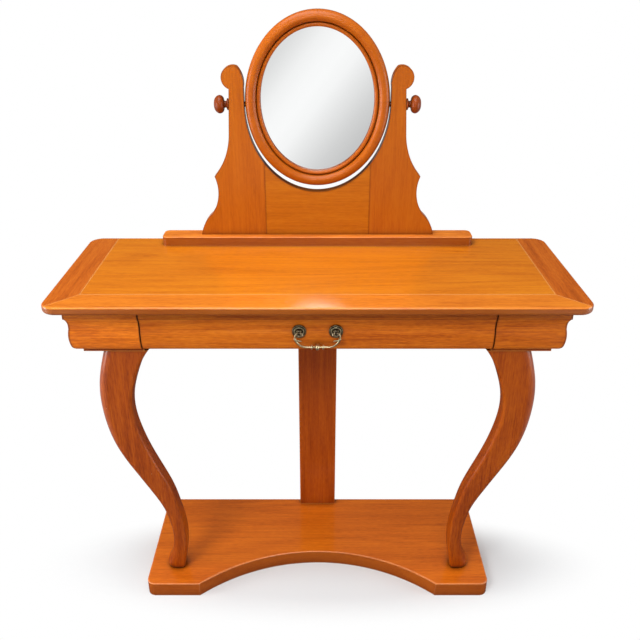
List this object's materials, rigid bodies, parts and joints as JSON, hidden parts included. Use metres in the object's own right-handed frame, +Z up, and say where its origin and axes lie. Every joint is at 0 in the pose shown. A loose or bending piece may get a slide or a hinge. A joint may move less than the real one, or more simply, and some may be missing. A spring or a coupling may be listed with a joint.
{
  "type": "dressing table with mirror",
  "caption": "Console dressing table with a drawer in a moulded frieze, S-shaped front legs on a hollowed plinth and an oval mirror that tilts between shaped uprights.",
  "frame": {"origin": "on the floor under the middle of the table top", "axes": "+X to the right as one faces the drawer, +Y to the back, +Z up"},
  "size_m": [1.1054, 0.3996, 1.3099],
  "materials": {
    "top_field_wood": "stained cherry, long grain, satin lacquer",
    "top_border_wood": "stained cherry border, satin lacquer",
    "frieze_wood": "stained cherry moulding, satin lacquer",
    "leg_wood": "stained cherry, rounded arrises, satin lacquer",
    "plinth_wood": "stained cherry board, satin lacquer",
    "support_wood": "stained cherry, upright grain, satin lacquer",
    "support_panel_wood": "stained cherry, level grain, satin lacquer",
    "mirror_frame_wood": "stained cherry moulding, satin lacquer",
    "knob_wood": "turned cherry, dark stain, satin lacquer",
    "secondary_wood": "plain beech, unstained",
    "backboard": "thin board, unstained",
    "dowel_wood": "beech dowel",
    "mirror": "plain silvered glass",
    "pull_brass": "antiqued brass, dark in the hollows",
    "bush_brass": "plain machined brass",
    "steel": "zinc-plated steel",
    "washer_fabric": "thin felt washer"
  },
  "bodies": {
    "stand": {"top_panel": "top_field_wood", "top_border_front": "top_border_wood", "top_border_left": "top_border_wood", "top_border_right": "top_border_wood", "frieze_front_left": "frieze_wood", "frieze_front_right": "frieze_wood", "frieze_side_left": "frieze_wood", "frieze_side_right": "frieze_wood", "carcase_back": "secondary_wood", "corner_blocks": "secondary_wood", "drawer_cheek_left": "secondary_wood", "drawer_cheek_right": "secondary_wood", "drawer_runner_left": "secondary_wood", "drawer_runner_right": "secondary_wood", "drawer_kicker_left": "secondary_wood", "drawer_kicker_right": "secondary_wood", "drawer_stops": "secondary_wood", "end_board_left": "frieze_wood", "end_board_right": "frieze_wood", "leg_left": "leg_wood", "leg_right": "leg_wood", "column": "plinth_wood", "plinth": "plinth_wood", "support_base": "support_wood", "support_upright_left": "support_wood", "support_upright_right": "support_wood", "support_panel": "support_panel_wood", "support_dowels": "dowel_wood", "leg_bolts": "steel", "plinth_screws": "steel", "column_screws": "steel", "runner_screws": "steel", "top_screws": "steel", "support_screws": "steel", "upright_bushes": "bush_brass"},
    "drawer": {"drawer_front": "frieze_wood", "drawer_side_left": "secondary_wood", "drawer_side_right": "secondary_wood", "drawer_back": "secondary_wood", "drawer_bottom": "secondary_wood", "pull_rosettes": "pull_brass", "pull_posts": "pull_brass", "pull_nuts": "bush_brass"},
    "bail": {"pull_bail": "pull_brass"},
    "mirror": {"mirror_frame_upper_left": "mirror_frame_wood", "mirror_frame_upper_right": "mirror_frame_wood", "mirror_frame_lower_left": "mirror_frame_wood", "mirror_frame_lower_right": "mirror_frame_wood", "mirror_glass": "mirror", "mirror_backboard": "backboard", "backboard_clips": "steel", "clip_screws": "steel", "frame_inserts": "bush_brass", "pivot_washers": "washer_fabric"},
    "knob_left": {"knob_left": "knob_wood", "knob_screw_left": "steel"},
    "knob_right": {"knob_right": "knob_wood", "knob_screw_right": "steel"}
  },
  "joints": [
    {"name": "drawer_slide", "type": "slide", "parent": "stand", "child": "drawer", "axis": [0, -1, 0], "range_m": [0, 0.2]},
    {"name": "bail_swing", "type": "hinge", "parent": "drawer", "child": "bail", "pos_m": [0, -0.17315, 0.7195], "axis": [-1, 0, 0], "range_deg": [0, 80]},
    {"name": "mirror_tilt", "type": "hinge", "parent": "stand", "child": "mirror", "pos_m": [0, 0.17475, 1.11423], "axis": [1, 0, 0], "continuous": true},
    {"name": "knob_left_turn", "type": "hinge", "parent": "stand", "child": "knob_left", "pos_m": [0, 0.17475, 1.11423], "axis": [-1, 0, 0], "range_deg": [0, 360]},
    {"name": "knob_right_turn", "type": "hinge", "parent": "stand", "child": "knob_right", "pos_m": [0, 0.17475, 1.11423], "axis": [1, 0, 0], "range_deg": [0, 360]}
  ]
}
